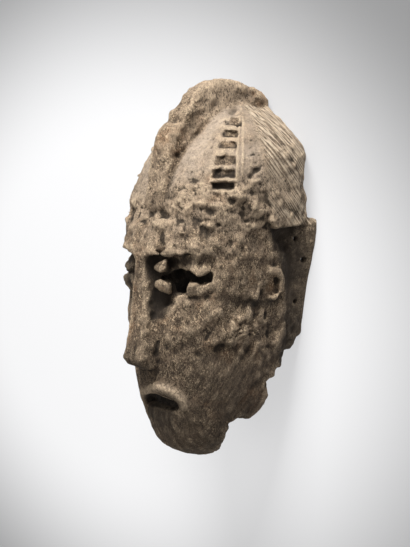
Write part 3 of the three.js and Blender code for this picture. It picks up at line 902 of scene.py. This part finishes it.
# %% [markdown]
# ## What the colour needs to know
# The material can't see the zones, so they are written into the mesh as attributes: one number for each
# corner. `crevice` says how sunk a place is, and the colour lays dirt and painted shade into its dips and a
# lighter tone, partly a painted highlight, onto its ridges. It compares the distance with its own blur: in a
# dip there is more wood around than the distance alone says. Along the foot of the crest it is held back,
# because that dip is broad, so it gets little dirt and painted shade.


# %% Crevices
def read_at(field, points):
    """The field's value at places in mm, blended between the eight cells round each."""
    inner = points / CELL - first
    base = np.clip(np.floor(inner).astype(int), 0, np.array(field.shape) - 2)
    part = (inner - base).astype(np.float32)
    result = np.zeros(len(points), np.float32)
    for corner in np.ndindex(2, 2, 2):
        i, j, k = (base + corner).T
        result += np.abs(1 - np.array(corner) - part).prod(axis=1) * field[i, j, k]
    return result


def write_attribute(name, values):
    attribute = mask.data.attributes.new(name, "FLOAT", "POINT")
    attribute.data.foreach_set("value", values.astype(np.float32))


spots = corners_of(mask.data)
vx, vy, vz = spots.T
vertex_across = np.abs(vx)
here = zones_of(spots, read_at(hollow, spots))
small_dips = read_at(distance, spots) - read_at(blurred(distance, radius=2.2), spots)
wide_dips = read_at(distance, spots) - read_at(blurred(distance, radius=5.5), spots)
crevice = np.clip(small_dips / 1.2, -1, 1) * 0.45 + np.clip(wide_dips / 2.5, -1, 1) * 0.55
crest_foot = step_up(vy, 90, 120) * (1 - step_up(vertex_across, 24, 40))
crevice = np.where(crevice > 0, crevice * (1 - 0.65 * crest_foot), crevice)
write_attribute("crevice", crevice)
print("crevice", round(float(crevice.min()), 2), "to", round(float(crevice.max()), 2))

# %% [markdown]
# `pale` is where the wood has worn to a whitish tone: the hair's panels, the back of the crest, the tops of
# the rot's knobs, the rungs and the ear's rim. On the upper lip it is partly worn wood and partly a painted
# highlight. `smooth` is where it has kept its skin, on the upper part of the hair's panels and on the lip.

# %% Pale and smooth
vertex_bearing = bearing_of(spots)
patches = noise(spots, 18, 81)
front_panel = here["hair"] * (1 - step_up(vertex_bearing, 38, 50))
back_panel = here["hair"] * step_up(vertex_bearing, 38, 50)
sunk = read_at(sunk_squares, spots)
knob_tops = step_up(noise(spots, 9, 83), -0.5, 0.5)
pale = front_panel * (0.64 + 0.3 * patches) + back_panel * (0.62 + 0.3 * patches)
pale += 0.75 * here["hair"] * step_up(vertex_bearing, 60, 68)
pale += 0.35 * here["hair"] * (1 - step_up(vertex_bearing, 16, 24))
pale *= 1 - 0.75 * sunk
crest_pale = 0.22 + 0.2 * (1 - step_up(vy, 96, 120))
crest_pale += 0.8 * (1 - step_up(vz, 90, 130)) * step_up(vz, 20, 50)
pale += here["crest"] * crest_pale
pale += here["worn"] * (0.55 + 0.8 * knob_tops)
pale += 0.6 * here["brow"] * here["face"] * knob_tops
pale += 0.7 * rungs_at(spots) + 0.35 * trench(spots, EAR_RIM, 4)
# A painted highlight along the upper lip, on top of its worn, paler wood.
lip = trench(spots, UPPER_LIP, 7) * here["face"]
pale += 1.3 * lip

smooth = (front_panel + back_panel * (1 - step_up(vertex_bearing, 60, 68))) * (1 - sunk)
smooth *= 0.45 + 0.55 * step_up(vy, 92, 132)
smooth += 0.45 * trench(spots, UPPER_LIP, 6) * here["face"]
print("pale", round(float(pale.mean()), 2), "smooth", round(float(smooth.mean()), 2))

# %% [markdown]
# `dark` is where the wood is darkened, partly by soot and damp and partly as painted shade. It is painted
# shade in the sockets, beside the nose, under the brow, in the temple's hollow under the hair's ledge,
# along the cheek's crease, in the mouth and on the far eyelids. The flat plates and the inside are partly
# stained and partly painted shade, the face is darker towards the bottom, and the sunk squares are
# faintly stained. The darkenings that both sides have are laid on the folded places.

# %% Stains and painted shade
# All of these are painted shade: beside the nose and at its root, in the socket, between the eyelid stumps,
# under the brow, in the temple's hollow, under the lip and in the mouth.
STAINS_AND_SHADE = [  # place, reach, strength
    ((18, -5, 168), (13, 34, 15), 1.5),
    ((14, 10, 180), (10, 24, 19), 1.5),
    ((19, -34, 174), (17, 24, 20), 2.0),
    ((20, 1, 172), (9, 6, 11), 1.5),
    ((50, 17, 160), (30, 10, 26), 0.9),
    ((84, 42, 50), (26, 26, 28), 0.9),
    ((4, -161, 165), (32, 14, 20), 1.0),
    ((4, -149, 156), (34, 9, 13), 1.5),
]
TEMPLE_SHADE = [(82, 46, 52), (81, 22, 40), (83, 2, 34)]
CHEEK_CREASE_SHADE = [(76, -30, 124), (81, -32, 94), (82, -34, 76), (81, -33, 50)]
below_brow = 1 - step_up(vy, 10, 30)
nose_skin = here["face"] * (1 - step_up(vertex_across, 18, 26)) * step_up(vz, 150, 165)
# The plates and the inside are darkened partly by stains and partly as painted shade.
stain_and_shade = 0.06 * here["chin"] + 0.63 * here["plate"] + 1.2 * here["inside"]
stain_and_shade += (0.22 + 0.35 * (1 - step_up(vy, 116, 124))) * sunk
# The face is darker towards the bottom, apart from the upper lip.
stain_and_shade += 0.31 * here["face"] * (1 - step_up(vy, -130, -20)) * (1 - lip)
# Painted shade under the brow, on the face and on the nose.
stain_and_shade += (0.21 * here["face"] + 0.1 * nose_skin) * below_brow
folded_spots = np.stack([vertex_across, vy, vz], axis=1)
for at, reach, strength in STAINS_AND_SHADE:
    stain_and_shade += strength * ball(folded_spots, at, reach)
# Painted shadow in the temple's hollow, under the ledge of the hair.
stain_and_shade += 1.5 * trench(folded_spots, TEMPLE_SHADE, 13)
# Painted shade on the far eyelids.
stain_and_shade += 1.8 * ball(spots, (-34, 1, 178), (20, 26, 26))
# Painted shade along the crease in the cheek.
stain_and_shade += 0.7 * trench(spots, CHEEK_CREASE_SHADE, 6)
dark = stain_and_shade + 0.25 * noise(spots, 30, 82)
print("dark", round(float(dark.mean()), 2))

# %% [markdown]
# `rust` is where the wood is redder than elsewhere. `fan` is where the slanting scratches are. `slanted` and
# `upright` say where the long fibres of the wood show, and which way they run.

# %% Rust, scratches and fibres
RUST = [  # place, reach
    ((64, 108, 134), 12),
    ((75, 90, 136), 10),
    ((85, -18, 62), 12),
    ((14, 200, 20), 22),
    ((8, 150, 150), 26),
    ((-14, -40, 190), (14, 70, 20)),
    ((72, -92, 118), 14),
    ((66, -146, 76), 26),
]
rust = sum(ball(spots, at, reach) for at, reach in RUST) * (0.6 + 0.6 * noise(spots, 8, 84))
fan = here["hair"] * step_up(vertex_bearing, 64, 71) * (1 - 0.7 * ball(spots, (95, 96, 62), (30, 28, 40)))
low = here["face"] * (1 - step_up(vy, -110, -70))
middle = (1 - step_up(vertex_across, 30, 50)) * (1 - step_up(vy, -154, -144))
slanted = low * (1 - middle) * (1 - here["plate"]) * step_up(vertex_across, 46, 64)
upright = np.maximum(low * middle, 0.7 * here["plate"])

written = {
    "smooth": smooth,
    "rust": rust,
    "pale": pale,
    "dark": dark,
    "fan": fan,
    "slanted": slanted,
    "upright": upright,
}
for name, values in written.items():
    write_attribute(name, np.clip(values, 0, 1))
print("written:", ", ".join(written))

# %% [markdown]
# ## The wood's skin
# Dry grey-brown wood with a crust of light grains. A picture of wood could be wrapped round it, but its
# grain would have no tie to the carving. So the colour is made from noise and the attributes. Each of
# these helpers adds nodes and returns an output.

# %% Material
wood, tree, shader = new_material("weathered_wood")
place = add_node(tree, "ShaderNodeTexCoord")


def attribute(name):
    return add_node(tree, "ShaderNodeAttribute", attribute_name=name).outputs["Fac"]


def texture_noise(scale, detail, roughness=0.55, stretch=(1, 1, 1), distortion=0):
    """Noise in the mask's own metres, stretched along an axis where a number is below 1."""
    mapping = add_node(tree, "ShaderNodeMapping", {"Scale": stretch})
    tree.links.new(place.outputs["Object"], mapping.inputs["Vector"])
    shape = {"Scale": scale, "Detail": detail, "Roughness": roughness, "Distortion": distortion}
    node = add_node(tree, "ShaderNodeTexNoise", shape)
    tree.links.new(mapping.outputs["Vector"], node.inputs["Vector"])
    return node.outputs["Fac"]


def strokes(scale, slant, stretch, detail=1, lean=0):
    """Noise drawn out into strokes that slant on the mask's sides and lean on its top, in degrees."""
    turned = {"Rotation": (math.radians(slant), math.radians(lean), 0), "Scale": stretch}
    mapping = add_node(tree, "ShaderNodeMapping", turned, vector_type="TEXTURE")
    tree.links.new(place.outputs["Object"], mapping.inputs["Vector"])
    node = add_node(tree, "ShaderNodeTexNoise", {"Scale": scale, "Detail": detail, "Roughness": 0.5})
    tree.links.new(mapping.outputs["Vector"], node.inputs["Vector"])
    return node.outputs["Fac"]


def ramp(value, low, high):
    """0 at low and 1 at high, with a soft step between them. Low may be the larger one."""
    ends = {"From Min": low, "From Max": high}
    node = add_node(tree, "ShaderNodeMapRange", ends, interpolation_type="SMOOTHSTEP")
    tree.links.new(value, node.inputs["Value"])
    return node.outputs["Result"]


def maths(operation, a, b):
    node = add_node(tree, "ShaderNodeMath", operation=operation)
    for socket, value in zip(node.inputs, (a, b)):
        if isinstance(value, (int, float)):
            socket.default_value = value
        else:
            tree.links.new(value, socket)
    return node.outputs["Value"]


def times(a, b):
    return maths("MULTIPLY", a, b)


def without(share):
    """What a share leaves of 1."""
    return maths("SUBTRACT", 1.0, share)


# %% [markdown]
# The wood's own pattern comes in several sizes: a broad mottling, blotches, a crust and its light grains,
# bare patches where the crust has come off, pores and fibres. The fan's scratches are one noise, drawn out
# along the slant of the hair: its low values are the scratches, and its high ones the ridges beside them.

# %% Patterns
mottle = ramp(texture_noise(60, 4), 0.35, 0.68)
blotches = ramp(texture_noise(16, 3), 0.4, 0.65)
warmth = ramp(texture_noise(30, 4), 0.56, 0.70)
crust = ramp(texture_noise(110, 3, 0.6), 0.40, 0.60)
bare = ramp(texture_noise(44, 4, 0.62), 0.53, 0.66)
fine_grains = ramp(texture_noise(620, 2, 0.65, (1, 0.55, 1), 1.5), 0.485, 0.56)
grains = times(fine_grains, maths("ADD", times(crust, 0.7), 0.3))
pores = ramp(texture_noise(430, 3, 0.7, (1, 0.55, 1), 1.5), 0.48, 0.41)
fine_fibres = ramp(texture_noise(700, 2, 0.6, (1, 0.15, 1)), 0.40, 0.62)
scratches = strokes(960, 38, (11, 36, 1), 0, lean=-22)
scratched = times(ramp(scratches, 0.49, 0.455), attribute("fan"))
combed = times(ramp(scratches, 0.51, 0.55), attribute("fan"))
slanted_fibres = times(ramp(strokes(420, -26, (5, 12, 1), 2), 0.42, 0.62), attribute("slanted"))
upright_fibres = times(ramp(strokes(480, 0, (1, 14, 1), 2), 0.42, 0.60), attribute("upright"))
drawn = maths("ADD", slanted_fibres, upright_fibres)
fibrous = maths("ADD", attribute("slanted"), attribute("upright"))
rough_skin = times(without(times(attribute("smooth"), 0.62)), without(times(fibrous, 0.45)))
print(len(tree.nodes), "nodes so far")

# %% [markdown]
# The colour is built up as a painter would. A dark and a lighter brown are mottled first, and then each
# row of the list is laid over all that came before it, as far as its second value says. The dirt and painted
# shade in the dips, and the lighter tone on the ridges, partly worn by rubbing and partly a painted
# highlight, come last, because they lie on top of everything.

# %% Colours
DARK_BROWN, LIGHT_BROWN = (0.072, 0.048, 0.030), (0.175, 0.120, 0.077)
BLEACHED_ROUGH, BLEACHED_SMOOTH = (0.43, 0.325, 0.225), (0.42, 0.34, 0.26)
# Soot and painted shade share one colour.
SOOT_AND_SHADE = (0.020, 0.014, 0.009)
bleached = layered(tree, BLEACHED_ROUGH, BLEACHED_SMOOTH, attribute("smooth"))
dips = ramp(attribute("crevice"), 0.0, 0.5)
ridges = ramp(attribute("crevice"), -0.06, -0.5)
# A painted highlight on the ridges, together with the wear of rubbing.
rubbed_and_highlit = times(ridges, maths("ADD", times(grains, 0.55), 0.22))
rubbed_and_highlit = times(rubbed_and_highlit, without(times(attribute("dark"), 0.75)))
layers = [
    ((0.150, 0.106, 0.072), times(blotches, 0.6)),  # greyer blotches
    ((0.30, 0.17, 0.085), times(warmth, 0.42)),  # warm spots
    ((0.28, 0.125, 0.045), times(attribute("rust"), 0.72)),  # red wood
    ((0.070, 0.047, 0.031), times(fibrous, 0.45)),  # the ground of the fibres
    ((0.26, 0.19, 0.13), times(drawn, 0.4)),  # the fibres
    ((0.64, 0.475, 0.305), times(times(grains, 0.85), rough_skin)),  # light grains
    ((0.075, 0.049, 0.031), times(bare, 0.5)),  # bare patches
    (bleached, times(attribute("pale"), 0.66)),  # whitish wood; on the upper lip partly a painted highlight
    (SOOT_AND_SHADE, times(attribute("dark"), 0.91)),  # stains and painted shade
    ((0.030, 0.019, 0.012), times(times(pores, 0.9), rough_skin)),  # pores
    ((0.070, 0.048, 0.031), times(scratched, 0.55)),  # scratches
    ((0.60, 0.49, 0.36), times(combed, 0.7)),  # the ridges beside them
    (SOOT_AND_SHADE, times(dips, 0.9)),  # dirt and painted shade in the dips
    ((0.60, 0.46, 0.31), rubbed_and_highlit),  # ridges worn by rubbing, partly a painted highlight
]
colour = layered(tree, DARK_BROWN, LIGHT_BROWN, mottle)
for over, share in layers:
    colour = layered(tree, colour, over, share)
tree.links.new(colour, shader.inputs["Base Color"])
shader.inputs["Roughness"].default_value = 0.88
shader.inputs["Specular IOR Level"].default_value = 0.25
print(len(layers) + 1, "layers of colour")

# %% [markdown]
# The same grains, pores, fibres and scratches go into the bump, so that colour and fine relief agree. They
# are too fine for the mesh, and everything larger is in the mesh already.

# %% Bump
relief = maths("SUBTRACT", times(grains, 0.9), pores)
relief = maths("ADD", times(relief, rough_skin), times(fine_fibres, 0.35))
relief = maths("ADD", relief, times(drawn, 0.6))
relief = maths("SUBTRACT", relief, times(scratched, 1.2))
bump = add_node(tree, "ShaderNodeBump", {"Strength": 0.9, "Distance": 0.0012})
tree.links.new(relief, bump.inputs["Height"])
tree.links.new(bump.outputs["Normal"], shader.inputs["Normal"])

mask.data.materials.clear()
mask.data.materials.append(wood)
print("the mask is of", wood.name)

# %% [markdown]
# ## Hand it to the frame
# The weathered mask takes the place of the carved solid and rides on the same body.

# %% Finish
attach(mask, "root")
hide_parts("mask")
